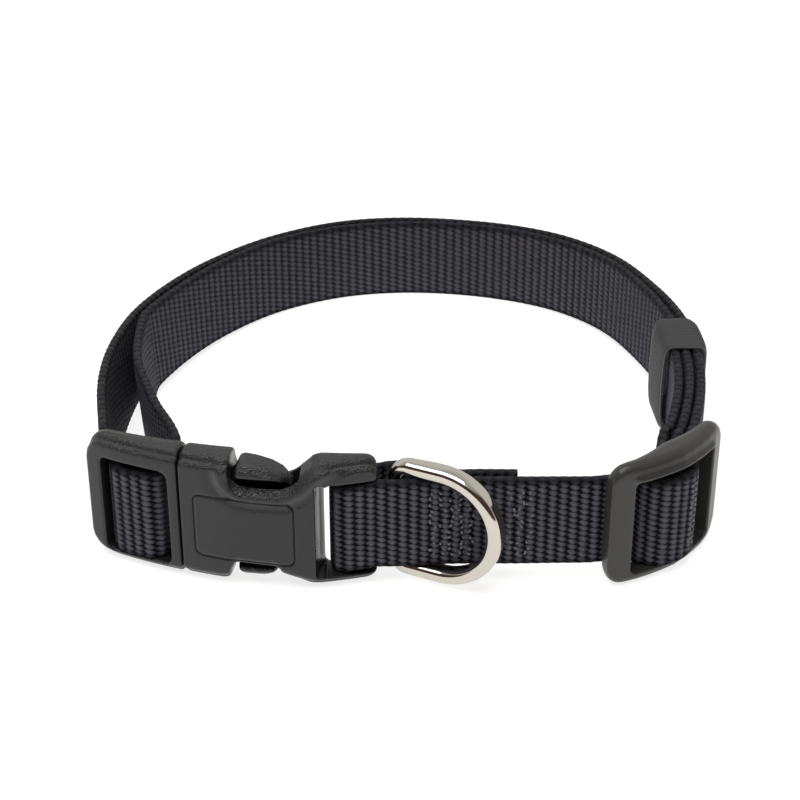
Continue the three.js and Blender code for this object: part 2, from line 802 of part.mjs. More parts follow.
// Stations along the route, close together where it bends and far apart where it runs straight
function webbingStations() {
  const route = webbingRoute();
  const fineSteps = 2400;
  const largestTurn = radians(9);
  const longestStep = 7;
  const fine = Array.from({ length: fineSteps + 1 }, (_, i) => ({
    spot: route.getPointAt(i / fineSteps),
    way: route.getTangentAt(i / fineSteps).setZ(0).normalize(),
  }));
  const kept = [fine[0]];
  let turned = 0;
  let travelled = 0;
  for (let i = 1; i < fine.length; i += 1) {
    turned += fine[i].way.angleTo(fine[i - 1].way);
    travelled += Math.hypot(fine[i].spot.x - fine[i - 1].spot.x, fine[i].spot.y - fine[i - 1].spot.y);
    if (turned > largestTurn || travelled > longestStep || i === fine.length - 1) {
      kept.push(fine[i]);
      turned = 0;
      travelled = 0;
    }
  }
  return kept;
}

function strapPiece() {
  const half = webbingThickness / 2;
  const rings = webbingStations().map(({ spot, way }) => {
    const side = new THREE.Vector2(way.y, -way.x);
    const outward = Math.sign(side.x * spot.x + side.y * spot.y) || 1;
    const low = lowerEdge(spot);
    const corner = (across, up) => {
      const shift = across * half + outward * spot.z * (up - 0.5);
      return new THREE.Vector3(spot.x + side.x * shift, spot.y + side.y * shift, low + up * webbingWidth);
    };
    return [corner(1, 0), corner(1, 1), corner(-1, 1), corner(-1, 0)];
  });
  return solidFromRings(rings, false);
}

function piece(name, geometry, color, roughness, metalness) {
  const material = new THREE.MeshStandardMaterial({ color, roughness, metalness });
  const mesh = new THREE.Mesh(geometry, material);
  mesh.name = name;
  return mesh;
}

const charcoal = 0x26252a;
const acetalBlack = 0x2b2b2c;
const nickel = 0xcfc8bd;

const strap = piece("strap", strapPiece(), charcoal, 0.9, 0);
const socket = piece("buckle_socket", socketHalf(), acetalBlack, 0.5, 0);
const prongs = piece("buckle_prongs", prongHalf(), acetalBlack, 0.5, 0);
const slide = piece("slide", slidePiece(), acetalBlack, 0.55, 0);
const keeper = piece("keeper", keeperPiece(), charcoal, 0.8, 0);
const ring = piece("d_ring", ringPiece(), nickel, 0.25, 1);

const ringPivot = new THREE.Group();
ringPivot.position.set(ringPlace.x, ringPlace.y, frontLift + webbingWidth / 2);
ringPivot.rotation.z = -radians(ringSwing);
ringPivot.add(ring);

// The collar stands with its lowest edges on z = 0 and the middle of its plan on the axis
const collar = new THREE.Group();
collar.add(strap, socket, prongs, slide, keeper, ringPivot);
const reach = new THREE.Box3().setFromObject(collar, true);
const middle = reach.getCenter(new THREE.Vector3());
collar.position.set(-middle.x, -middle.y, -reach.min.z);

export default collar;
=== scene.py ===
import json
import math

import bpy
import numpy as np
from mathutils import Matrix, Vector


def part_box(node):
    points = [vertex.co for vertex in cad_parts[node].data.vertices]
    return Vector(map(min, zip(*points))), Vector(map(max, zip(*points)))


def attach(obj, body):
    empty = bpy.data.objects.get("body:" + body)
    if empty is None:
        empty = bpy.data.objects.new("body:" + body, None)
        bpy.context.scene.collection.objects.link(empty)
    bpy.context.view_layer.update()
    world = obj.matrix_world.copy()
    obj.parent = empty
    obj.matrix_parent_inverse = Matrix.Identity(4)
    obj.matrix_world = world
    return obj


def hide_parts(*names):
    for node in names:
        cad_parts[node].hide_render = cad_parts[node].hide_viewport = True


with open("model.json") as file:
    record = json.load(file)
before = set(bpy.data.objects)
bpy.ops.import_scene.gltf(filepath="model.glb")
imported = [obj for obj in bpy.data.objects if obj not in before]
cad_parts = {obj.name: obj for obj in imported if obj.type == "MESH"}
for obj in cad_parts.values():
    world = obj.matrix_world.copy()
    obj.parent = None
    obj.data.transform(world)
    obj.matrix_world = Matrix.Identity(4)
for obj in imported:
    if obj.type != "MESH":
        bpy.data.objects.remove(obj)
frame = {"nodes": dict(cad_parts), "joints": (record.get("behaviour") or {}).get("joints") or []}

bpy.context.view_layer.update()
mm = 0.001

# The camera looks down at the standing collar from the front, 30 degrees above the floor, through a long
# lens. It stands off from the ring's hinge, which is the frame's own fixed point on the front of the collar.
camera_from_hinge = Vector((0.739, -333.737, 220.0)) * mm
camera_tilt = math.radians(30)
lens_length = 86.44

ring_hinge = Vector(frame["joints"][0]["pos_m"])
camera = bpy.data.objects.new("camera", bpy.data.cameras.new("camera"))
camera.data.lens = lens_length
camera.data.sensor_width = 36
camera.location = ring_hinge + camera_from_hinge
camera.rotation_euler = (math.pi / 2 - camera_tilt, 0, 0)
bpy.context.scene.collection.objects.link(camera)
bpy.context.scene.camera = camera
bpy.context.scene.view_settings.view_transform = "Standard"


# The studio: a pale lit sheet under the collar, one large soft lamp panel above, and a room that is pale
# behind and dim brown in front. The sheet lies a hair below the collar's lowest edges, apart from it.
floor_reach = 3.0
floor_drop = 0.2 * mm
floor_colour = (0.42, 0.42, 0.415, 1)
floor_glow = 0.78
room_front = (0.085, 0.052, 0.038, 1)
room_back = (0.80, 0.79, 0.77, 1)
room_above = (0.50, 0.50, 0.50, 1)
room_front_to_back = (-0.35, 0.15)
room_low_to_above = (0.62, 0.78)
lamp_place = (-0.1, -0.2, 0.72)
lamp_size = 0.6
lamp_power = 4.6
lamp_colour = (1, 0.99, 0.97)
collar_middle = (0, 0, 12 * mm)


def finish_with(name, colour, roughness, metallic=0.0):
    """A material and its shader, with the colour, roughness and metal set on the shader's own sockets."""
    material = bpy.data.materials.new(name)
    material.use_nodes = True
    shader = material.node_tree.nodes["Principled BSDF"]
    shader.inputs["Base Color"].default_value = colour
    shader.inputs["Roughness"].default_value = roughness
    shader.inputs["Metallic"].default_value = metallic
    return material, shader


def panel_light(name, place, aim, size, power, colour):
    """A square lamp panel at a place, turned to face another."""
    lamp = bpy.data.lights.new(name, "AREA")
    lamp.size = size
    lamp.energy = power
    lamp.color = colour
    panel = bpy.data.objects.new(name, lamp)
    panel.location = place
    panel.rotation_euler = (Vector(aim) - Vector(place)).to_track_quat("-Z", "Y").to_euler()
    bpy.context.scene.collection.objects.link(panel)


floor_mesh = bpy.data.meshes.new("floor")
floor_sides = [(-1, -1), (1, -1), (1, 1), (-1, 1)]
floor_corners = [(x * floor_reach, y * floor_reach, -floor_drop) for x, y in floor_sides]
floor_mesh.from_pydata(floor_corners, [], [(0, 1, 2, 3)])
floor_material, floor_shader = finish_with("pale sheet", floor_colour, 0.9)
floor_shader.inputs["Specular IOR Level"].default_value = 0
floor_shader.inputs["Emission Color"].default_value = (1, 1, 1, 1)
floor_shader.inputs["Emission Strength"].default_value = floor_glow
floor_mesh.materials.append(floor_material)
floor = bpy.data.objects.new("floor", floor_mesh)
bpy.context.scene.collection.objects.link(floor)

panel_light("overhead panel", lamp_place, collar_middle, lamp_size, lamp_power, lamp_colour)


def room_shade():
    """The room seen from the collar: its colour changes with the direction's height, and, low down, from the
    dim front to the pale back."""
    room = bpy.data.worlds.new("studio")
    room.use_nodes = True
    tree = room.node_tree
    place = tree.nodes.new("ShaderNodeTexCoord")
    parts = tree.nodes.new("ShaderNodeSeparateXYZ")
    tree.links.new(place.outputs["Generated"], parts.inputs["Vector"])
    colours = tree.nodes.new("ShaderNodeMix")
    colours.data_type = "RGBA"
    colours.inputs["A"].default_value = room_front
    colours.inputs["B"].default_value = room_back
    backward = tree.nodes.new("ShaderNodeMapRange")
    backward.inputs["From Min"].default_value = room_front_to_back[0]
    backward.inputs["From Max"].default_value = room_front_to_back[1]
    tree.links.new(parts.outputs["Y"], backward.inputs["Value"])
    tree.links.new(backward.outputs["Result"], colours.inputs["Factor"])
    upward = tree.nodes.new("ShaderNodeMapRange")
    upward.inputs["From Min"].default_value = room_low_to_above[0]
    upward.inputs["From Max"].default_value = room_low_to_above[1]
    tree.links.new(parts.outputs["Z"], upward.inputs["Value"])
    sky = tree.nodes.new("ShaderNodeMix")
    sky.data_type = "RGBA"
    sky.inputs["B"].default_value = room_above
    tree.links.new(upward.outputs["Result"], sky.inputs["Factor"])
    tree.links.new(colours.outputs["Result"], sky.inputs["A"])
    tree.links.new(sky.outputs["Result"], tree.nodes["Background"].inputs["Color"])
    return room


bpy.context.scene.world = room_shade()


# The webbing is one length of heavy black nylon, 20 mm wide, woven in ribs across its width: on each rib
# lens-shaped floats lie over one another, half a row off from the next rib's, with small dark pits between.
# It runs where the frame's strap runs, in five meshes that join where another layer or a bar hides the joint.
webbing_width = 20 * mm
webbing_thickness = 2.2 * mm
layer_pitch = 2.5 * mm
column_pitch = 2.2 * mm
rows_across = 15
row_pitch = webbing_width / rows_across
rib_height = 0.26 * mm
knob_height = 0.07 * mm
wave_height = 0.10 * mm
wave_lengths = (9.1 * mm, 23.7 * mm)
sway_reach = 0.08 * mm
sway_length = 14.3 * mm
steps_per_column = 6
steps_across = 26
float_reach = 0.57
float_width = 0.6
float_depth = 0.45 * mm
flat_share = 0.45
# How far the painted pit shade is evened out towards the plain level below: on the edges, and on the faces
# turned to the inside of the collar.
edge_plainness = 0.75
inside_shade_plainness = 0.4
plain_shade = 0.55
float_lean = 0.28
drift_scale = 330
drift_reach = 0.5
dye_least, dye_spread = 0.62, 0.32
# The painted shade of the weave: the floats' height, raised to this power, sets how far the colour falls
# towards the near-black pit colour.
pit_shade_power = 2.8
selvedge_band = 1.15 * mm
selvedge_darkening = 0.55
yarn_roughness = 0.55
yarn_specular = 0.07
yarn_colour = (0.121, 0.118, 0.145)
# Near-black colour painted into the pits as their shade.
pit_shade_colour = (0.0008, 0.0008, 0.0010)
webbing_pieces = [
    ("webbing_front", 0.0, 0.158),
    ("webbing_outer_right", 0.158, 0.37),
    ("webbing_outer_left", 0.37, 0.575),
    ("webbing_inner_left", 0.575, 0.79),
    ("webbing_inner_right", 0.79, 1.0),
]


def merged_triangles(node):
    """A frame node's corners without doubles, and its triangles as numbers of those corners."""
    mesh = node.data
    corners = np.empty(3 * len(mesh.vertices), np.float32)
    mesh.vertices.foreach_get("co", corners)
    loops = np.empty(len(mesh.loops), np.int32)
    mesh.loops.foreach_get("vertex_index", loops)
    points, same = np.unique(corners.reshape(-1, 3).round(6), axis=0, return_inverse=True)
    return points.astype(float), same.reshape(-1)[loops].reshape(-1, 3)


def rim_in_order(points, triangles, upper):
    """The corners round the strap's lower or upper edge face, in order. That face has the triangles whose
    corners all lie in the strap's lower or upper half, and its outline the edges that only one has."""
    in_upper_half = points[:, 2] > points[:, 2].mean()
    flat = triangles[(in_upper_half[triangles] == upper).all(axis=1)]
    sides = np.sort(np.concatenate([flat[:, [0, 1]], flat[:, [1, 2]], flat[:, [2, 0]]]), axis=1)
    sides, times = np.unique(sides, axis=0, return_counts=True)
    neighbours = {}
    for first, second in sides[times == 1].tolist():
        neighbours.setdefault(first, []).append(second)
        neighbours.setdefault(second, []).append(first)
    walked = [next(iter(neighbours))]
    walked.append(neighbours[walked[0]][0])
    while len(walked) < len(neighbours):
        before, here = walked[-2:]
        walked.append(next(other for other in neighbours[here] if other != before))
    return points[walked]


def facing_pairs(rim):
    """Pairs of corners that face each other across the strap, from its front end to its other end. The rim is
    folded at the place where all the pairs lie one thickness apart."""
    count = len(rim)
    half = np.arange(count // 2)
    folds = np.arange(count)[:, None]
    ahead = rim[(folds + half) % count]
    behind = rim[(folds - 1 - half) % count]
    error = np.abs(np.linalg.norm(ahead - behind, axis=2) - webbing_thickness).max(axis=1)
    best = np.argsort(error)[:2]
    fold = min(best, key=lambda k: rim[k][1])
    return ahead[fold], behind[fold]


def strap_route():
    """The middle line of the strap in even small steps: places, ways, right-hand sides, lower edge heights
    and the lean of the upper edge. Between the frame's sections it is a curve with their directions, and a
    short running mean then takes out the kinks that woven cloth would not hold."""
    points, triangles = merged_triangles(frame["nodes"]["strap"])
    ahead, behind = facing_pairs(rim_in_order(points, triangles, False))
    ahead_up, behind_up = facing_pairs(rim_in_order(points, triangles, True))
    middle = (ahead + behind) / 2
    lean = ((ahead_up + behind_up) / 2 - middle)[:, :2]
    side = (ahead - behind)[:, :2]
    side /= np.linalg.norm(side, axis=1)[:, None]
    way = np.stack([-side[:, 1], side[:, 0]], axis=1)
    chords = np.diff(middle[:, :2], axis=0)
    way *= np.sign(np.sum(way[:-1] * chords, axis=1).sum())
    spans = np.linalg.norm(chords, axis=1)
    knots = np.concatenate([[0], np.cumsum(spans)])
    step = column_pitch / steps_per_column
    places = np.arange(int(knots[-1] / step) + 1) * step
    i = np.clip(np.searchsorted(knots, places, side="right") - 1, 0, len(spans) - 1)
    t = ((places - knots[i]) / spans[i])[:, None]
    chord = spans[i][:, None]
    line = (1 + 2 * t) * (1 - t) ** 2 * middle[i, :2] + t**2 * (3 - 2 * t) * middle[i + 1, :2]
    line += t * (1 - t) ** 2 * chord * way[i] - t**2 * (1 - t) * chord * way[i + 1]
    window = np.hanning(11)
    window /= window.sum()
    reach = len(window) // 2
    padded = np.concatenate([2 * line[:1] - line[reach:0:-1], line, 2 * line[-1:] - line[-2:-reach - 2:-1]])
    line = np.stack([np.convolve(padded[:, k], window, "valid") for k in range(2)], axis=1)
    way = np.gradient(line, axis=0)
    way /= np.linalg.norm(way, axis=1)[:, None]
    right = np.stack([way[:, 1], -way[:, 0]], axis=1)
    low = np.interp(places, knots, middle[:, 2])
    lean = np.stack([np.interp(places, knots, lean[:, k]) for k in range(2)], axis=1)
    return {"places": places, "line": line, "right": right, "low": low, "lean": lean}


def webbing_section():
    """The outline of the webbing's cross-section: places outwards and up, their outward directions, and
    whether each lies on an edge. The two faces thin a little towards the selvedges, which are round."""
    rows = np.linspace(0, 1, steps_across + 1)
    half = webbing_thickness / 2
    face_out = half * (1 - 0.1 * np.abs(2 * rows - 1) ** 12)
    face_up = webbing_width * rows
    bend = np.linspace(0, math.pi, 7)[1:-1]
    tip = 0.9 * half
    tip_out = tip * np.cos(bend)
    tip_up = 0.5 * tip * np.sin(bend)
    out = np.concatenate([face_out, tip_out, -face_out[::-1], -tip_out])
    up = np.concatenate([face_up, webbing_width + tip_up, face_up[::-1], -tip_up])
    flat = np.zeros(len(rows))
    toward_out = np.concatenate([flat + 1, np.cos(bend), flat - 1, -np.cos(bend)])
    toward_up = np.concatenate([flat, np.sin(bend), flat, -np.sin(bend)])
    on_edge = np.abs(toward_up) > 0
    return out, up, toward_out, toward_up, on_edge


def skin(name, rings, looped=False):
    """A mesh object of quads between rings of points, closed by a cap at each end unless looped. The faces
    are turned so that the volume they enclose is positive."""
    count, around = rings.shape[:2]
    turns = count if looped else count - 1
    i = np.arange(turns)[:, None]
    j = np.arange(around)[None]
    k = (j + 1) % around
    ahead = (i + 1) % count
    quads = np.stack([i * around + j, i * around + k, ahead * around + k, ahead * around + j], axis=-1)
    quads = quads.reshape(-1, 4)
    points = rings.reshape(-1, 3)
    a, b, c, d = (points[quads[:, n]] for n in range(4))
    volume = np.sum(np.cross(a, b) * c) + np.sum(np.cross(a, c) * d)
    caps = [] if looped else [np.arange(around)[::-1], np.arange(around) + (count - 1) * around]
    smooth = np.arange(len(quads) + len(caps)) < len(quads)
    if volume < 0:
        quads = quads[:, ::-1]
        caps = [cap[::-1] for cap in caps]
    loops = np.concatenate([quads.reshape(-1), *caps]).astype(np.int32)
    sizes = np.concatenate([np.full(len(quads), 4), np.full(len(caps), around)]).astype(np.int32)
    mesh = bpy.data.meshes.new(name)
    mesh.vertices.add(len(points))
    mesh.vertices.foreach_set("co", points.astype(np.float32).reshape(-1))
    mesh.loops.add(len(loops))
    mesh.loops.foreach_set("vertex_index", loops)
    mesh.polygons.add(len(sizes))
    mesh.polygons.foreach_set("loop_start", np.concatenate([[0], np.cumsum(sizes)[:-1]]).astype(np.int32))
    mesh.polygons.foreach_set("use_smooth", smooth)
    mesh.update(calc_edges=True)
    mesh.validate()
    piece = bpy.data.objects.new(name, mesh)
    bpy.context.scene.collection.objects.link(piece)
    return piece


def store_places(piece, name, values):
    """Stores three numbers for each point, for the piece's material to read."""
    attribute = piece.data.attributes.new(name, "FLOAT_VECTOR", "POINT")
    attribute.data.foreach_set("vector", values.astype(np.float32).reshape(-1))


def store_shares(piece, name, values):
    """Stores one number for each point, for the piece's material to read."""
    attribute = piece.data.attributes.new(name, "FLOAT", "POINT")
    attribute.data.foreach_set("value", values.astype(np.float32).reshape(-1))


def webbing_piece(name, start, end):
    """One stretch of the webbing. A point is the middle line, moved to the side by the section's outline
    plus the relief, and up by the lower edge's height, with the cloth's slow waviness added."""
    total = len(route["places"]) - 1
    picked = slice(int(start * total), int(end * total) + 1)
    along = route["places"][picked, None]
    line = route["line"][picked]
    right = route["right"][picked]
    low = route["low"][picked, None]
    lean = route["lean"][picked]
    out, up, toward_out, toward_up, on_edge = webbing_section()
    phase = 2 * math.pi * along / column_pitch
    rib = 0.5 - 0.5 * np.cos(phase)
    knob = 0.5 - 0.5 * np.cos(phase + np.where(up > 0, 0, 1.3))
    lift = np.where(on_edge, knob_height * (knob - 0.6), rib_height * (rib - 0.8))
    wave = wave_height * (np.sin(along / wave_lengths[0]) + np.sin(along / wave_lengths[1] + 1.1))
    sway = sway_reach * np.sin(along / sway_length + 0.4)
    aside = out + toward_out * lift + sway
    above = low + up + toward_up * lift + wave * (up / webbing_width - 0.2)
    ground = line[:, None] + right[:, None] * aside[..., None] + lean[:, None] * (up / webbing_width)[:, None]
    rings = np.concatenate([ground, np.maximum(above, 0.05 * mm)[..., None]], axis=-1)
    piece = skin(name, rings)
    face_shift = np.where(toward_out < 0, row_pitch / 2, 0)
    from_middle = np.abs(2 * up / webbing_width - 1)
    store_places(piece, "weave", np.stack(np.broadcast_arrays(along, up + face_shift, from_middle), axis=-1))
    # Points on the faces turned to the inside of the collar are marked, so that the material paints their pit
    # shade softer.
    inward = np.sum(right * line, axis=1)[:, None] * toward_out < 0
    store_shares(piece, "inside_face", inward)
    return piece


def reckon(tree, operation, first, second=0.0, third=0.0):
    """One step of arithmetic in a material: a Math node on numbers or on other nodes' results."""
    node = tree.nodes.new("ShaderNodeMath")
    node.operation = operation
    for socket, value in zip(node.inputs, (first, second, third)):
        if isinstance(value, (int, float)):
            socket.default_value = value
        else:
            tree.links.new(value, socket)
    return node.outputs["Value"]


def float_crown(tree, from_rib, from_row):
    """Height of one float where it is seen, from the shares of a column and of a row between that place and
    its middle: its half width falls with the square along it, so that floats touch on the rib and leave
    pits between the ribs. Across, it is partly a flat top, steep at its sides, and partly round."""
    along = reckon(tree, "POWER", reckon(tree, "DIVIDE", from_rib, float_reach), 2)
    width = reckon(tree, "MAXIMUM", reckon(tree, "MULTIPLY_ADD", along, -float_width, float_width), 0.01)
    beside = reckon(tree, "MINIMUM", reckon(tree, "DIVIDE", from_row, width), 1)
    round_off = reckon(tree, "SQRT", reckon(tree, "SUBTRACT", 1, reckon(tree, "POWER", beside, 3)))
    flat_top = reckon(tree, "SUBTRACT", 1, reckon(tree, "POWER", beside, 9))
    round_part = reckon(tree, "MULTIPLY", round_off, 1 - flat_share)
    across = reckon(tree, "MULTIPLY_ADD", flat_top, flat_share, round_part)
    return reckon(tree, "MULTIPLY", across, reckon(tree, "MULTIPLY_ADD", along, -0.5, 1))


def mixed(tree, share, low, high):
    """A colour between two others."""
    node = tree.nodes.new("ShaderNodeMix")
    node.data_type = "RGBA"
    tree.links.new(share, node.inputs["Factor"])
    for name, value in (("A", low), ("B", high)):
        if isinstance(value, tuple):
            node.inputs[name].default_value = (*value, 1)
        else:
            tree.links.new(value, node.inputs[name])
    return node.outputs["Result"]


def webbing_finish():
    """Nylon yarn woven in ribs. The floats' height comes from the place along and across the webbing; it
    paints shade into the colour, darkest in the pits and lightest on the floats' crowns, and with the
    filaments it makes the bump. Every float has its own slight tint, and the selvedges are darker. On the
    edges and on the collar's inside faces the painted shade is evened out towards one plain level."""
    material, shader = finish_with("black nylon webbing", (*yarn_colour, 1), yarn_roughness)
    shader.inputs["Specular IOR Level"].default_value = yarn_specular
    tree = material.node_tree
    weave = tree.nodes.new("ShaderNodeAttribute")
    weave.attribute_name = "weave"
    parts = tree.nodes.new("ShaderNodeSeparateXYZ")
    tree.links.new(weave.outputs["Vector"], parts.inputs["Vector"])
    drift = tree.nodes.new("ShaderNodeTexNoise")
    drift.inputs["Scale"].default_value = drift_scale
    tree.links.new(weave.outputs["Vector"], drift.inputs["Vector"])
    sway = reckon(tree, "MULTIPLY_ADD", drift.outputs["Fac"], drift_reach, -drift_reach / 2)
    sway_along = reckon(tree, "MULTIPLY", sway, 0.5)
    column = reckon(tree, "MULTIPLY_ADD", parts.outputs["X"], 1 / column_pitch, sway_along)
    column_number = reckon(tree, "FLOOR", column)
    stagger = reckon(tree, "MULTIPLY", reckon(tree, "MODULO", column_number, 2), 0.5)
    row = reckon(tree, "MULTIPLY_ADD", parts.outputs["Y"], 1 / row_pitch, reckon(tree, "ADD", stagger, sway))
    from_rib_signed = reckon(tree, "SUBTRACT", reckon(tree, "FRACT", column), 0.5)
    from_rib = reckon(tree, "ABSOLUTE", from_rib_signed)
    leaning = reckon(tree, "MULTIPLY_ADD", from_rib_signed, float_lean, row)
    from_row = reckon(tree, "ABSOLUTE", reckon(tree, "SUBTRACT", reckon(tree, "FRACT", leaning), 0.5))
    own = float_crown(tree, from_rib, from_row)
    beside = float_crown(tree, reckon(tree, "SUBTRACT", 1, from_rib), reckon(tree, "SUBTRACT", 0.5, from_row))
    height = reckon(tree, "MAXIMUM", own, beside)
    float_number = tree.nodes.new("ShaderNodeCombineXYZ")
    tree.links.new(column_number, float_number.inputs["X"])
    tree.links.new(reckon(tree, "FLOOR", row), float_number.inputs["Y"])
    dye = tree.nodes.new("ShaderNodeTexWhiteNoise")
    tree.links.new(float_number.outputs["Vector"], dye.inputs["Vector"])
    dye_share = reckon(tree, "MULTIPLY_ADD", dye.outputs["Value"], dye_spread, dye_least)
    stretch = tree.nodes.new("ShaderNodeMapping")
    stretch.inputs["Scale"].default_value = (900, 7000, 900)
    tree.links.new(weave.outputs["Vector"], stretch.inputs["Vector"])
    filaments = tree.nodes.new("ShaderNodeTexNoise")
    filaments.inputs["Scale"].default_value = 1.0
    filaments.inputs["Detail"].default_value = 3
    tree.links.new(stretch.outputs["Vector"], filaments.inputs["Vector"])
    selvedge_start = 1 - 2 * selvedge_band / webbing_width
    selvedge = reckon(tree, "MULTIPLY_ADD", parts.outputs["Z"], 12, -12 * selvedge_start)
    selvedge = reckon(tree, "MINIMUM", reckon(tree, "MAXIMUM", selvedge, 0), 1)
    lit = reckon(tree, "MULTIPLY_ADD", filaments.outputs["Fac"], 0.5, dye_share)
    lit = reckon(tree, "MULTIPLY", lit, reckon(tree, "MULTIPLY_ADD", selvedge, -selvedge_darkening, 1))
    # Painted shade: the colour falls from the yarn's towards the near-black pits as the floats' height falls,
    # so the pits are darkest and the crowns lightest.
    shade = reckon(tree, "POWER", height, pit_shade_power)
    # On the edges and on the collar's inside faces, the painted shade is evened out towards one plain level.
    inside_face = tree.nodes.new("ShaderNodeAttribute")
    inside_face.attribute_name = "inside_face"
    over_edge = reckon(tree, "MULTIPLY_ADD", parts.outputs["Z"], 40, -40)
    over_edge = reckon(tree, "MINIMUM", reckon(tree, "MAXIMUM", over_edge, 0), 1)
    plain_edge = reckon(tree, "MULTIPLY", over_edge, edge_plainness)
    plain_inside = reckon(tree, "MULTIPLY", inside_face.outputs["Fac"], inside_shade_plainness)
    plain = reckon(tree, "MAXIMUM", plain_edge, plain_inside)
    to_plain = reckon(tree, "SUBTRACT", plain_shade, shade)
    shade = reckon(tree, "ADD", shade, reckon(tree, "MULTIPLY", to_plain, plain))
    yarn = mixed(tree, lit, (0.0, 0.0, 0.0), yarn_colour)
    tree.links.new(mixed(tree, shade, pit_shade_colour, yarn), shader.inputs["Base Color"])
    fibres = reckon(tree, "MULTIPLY_ADD", selvedge, 0.5, 0.22)
    fuzz = reckon(tree, "ADD", height, reckon(tree, "MULTIPLY", filaments.outputs["Fac"], fibres))
    bump = tree.nodes.new("ShaderNodeBump")
    bump.inputs["Strength"].default_value = 1.0
    bump.inputs["Distance"].default_value = float_depth
    tree.links.new(fuzz, bump.inputs["Height"])
    tree.links.new(bump.outputs["Normal"], shader.inputs["Normal"])
    return material


route = strap_route()
webbing_material = webbing_finish()
webbing = [webbing_piece(*spec) for spec in webbing_pieces]
for piece in webbing:
    piece.data.materials.append(webbing_material)
    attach(piece, "collar")
    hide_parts("strap")


# The stitching is black polyester thread, tacked to and fro by machine. It shuts the ring's pocket through
# both layers of the front, and holds the webbing's end where it comes back round the slide's middle bar.
thread_radius = 0.3 * mm
stitch_length = 1.1 * mm
stitch_pitch = 1.35 * mm
stitch_seed = 11
thread_colour = (0.11, 0.11, 0.125, 1)
pocket_rows = [8.2 * mm, 10.1 * mm, 12.0 * mm, 13.9 * mm, 15.8 * mm, 24.2 * mm, 26.0 * mm, 27.8 * mm]
pocket_rows_from_fold = 8.5 * mm
fold_from_hinge = 8 * mm
seam_place = (58.2 * mm, -58.9 * mm)
seam_rows_apart = 1.3 * mm
seam_disorder = 0.12
stitch_margin = 1.7 * mm
stitch_depth = 0.6 * mm
thread_roughness = 0.25


def nearest_station(x, y, first, last):
    """The number of the route's step nearest a place, among those from one share of its length to another."""
    total = len(route["places"]) - 1
    low, high = int(first * total), int(last * total)
    away = np.linalg.norm(route["line"][low:high] - np.array([x, y]), axis=1)
    return low + int(np.argmin(away))


def stitch_rows(name, stations, outward, disorder):
    """Rows of tacking stitches on one face of the webbing, each a short thread whose ends dive into the
    cloth: its depth below the crown follows the fourth power of the share from its middle. Disorder gives
    each its own slant and place, and none leaves a straight seam."""
    count = int((webbing_width - 2 * stitch_margin) // stitch_pitch)
    rings_each, around = 9, 8
    share = np.linspace(-1, 1, rings_each)
    angle = np.arange(around) * 2 * math.pi / around
    radius = thread_radius * (1 - 0.5 * share**6)
    sink = stitch_depth * share**4
    draw = np.random.default_rng(stitch_seed)
    meshes = []
    for number, station in enumerate(stations):
        place = route["line"][station]
        right = route["right"][station] * outward
        way = np.array([-right[1], right[0]])
        for tack in range(count):
            slant = draw.uniform(-1.5, 1.5) * disorder
            middle_up = 1.9 * mm + (tack + 0.5) * stitch_pitch + draw.uniform(-0.3, 0.3) * mm
            middle_way = draw.uniform(-0.75, 0.75) * mm * disorder
            reach = share * stitch_length / 2 * draw.uniform(0.6, 1.1)
            face = webbing_thickness / 2 + draw.uniform(-0.12, 0.12) * mm
            lift = face - sink[:, None] + radius[:, None] * np.cos(angle)
            across = radius[:, None] * np.sin(angle)
            aside = middle_way + reach[:, None] * math.sin(slant) + across * math.cos(slant)
            up = middle_up + reach[:, None] * math.cos(slant) - across * math.sin(slant)
            ground = place + right * lift[..., None] + way * aside[..., None]
            height = route["low"][station] + up
            rings = np.concatenate([ground, height[..., None]], axis=-1)
            meshes.append(skin(f"{name}_{number}_{tack}", rings))
    return joined(name, meshes)


def joined(name, meshes):
    """One object from several, with their points and faces kept."""
    bpy.ops.object.select_all(action="DESELECT")
    for part in meshes:
        part.select_set(True)
    bpy.context.view_layer.objects.active = meshes[0]
    bpy.ops.object.join()
    meshes[0].name = name
    meshes[0].data.name = name
    return meshes[0]


thread_material = finish_with("black thread", thread_colour, thread_roughness)[0]
hinge_station = nearest_station(ring_hinge.x, ring_hinge.y - 3 * mm, 0.05, 0.15)
step_length = route["places"][1]
pocket_steps = [int((row - pocket_rows_from_fold + fold_from_hinge) / step_length) for row in pocket_rows]
pocket_stations = [hinge_station + steps for steps in pocket_steps]
pocket_outward = 1 if route["right"][hinge_station][1] < 0 else -1
pocket_stitches = stitch_rows("pocket_stitches", pocket_stations, pocket_outward, 1)
seam_station = nearest_station(*seam_place, 0.05, 0.25)
seam_stations = [seam_station, seam_station + int(seam_rows_apart / step_length)]
slide_seam = stitch_rows("slide_seam", seam_stations, pocket_outward, seam_disorder)
for piece in (pocket_stitches, slide_seam):
    piece.data.materials.append(thread_material)
    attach(piece, "collar")


# The keeper is a loop of ribbed elastic that holds the layers together beside the slide. Its ribs run round
# the loop, it is a little slack, and its inner wall stands off from the webbing.
keeper_length = 17.5 * mm
keeper_wall = 1.1 * mm
keeper_slack = 0.4 * mm
keeper_ribs = 16
rib_relief = 0.3 * mm
keeper_bulge = 0.9 * mm
keeper_taper = 0.6
keeper_squareness = 0.22
keeper_colour = (0.029, 0.029, 0.032, 1)
keeper_roughness = 0.72
keeper_sheen = 0.25
knit_scale = 3200
knit_depth = 0.08 * mm


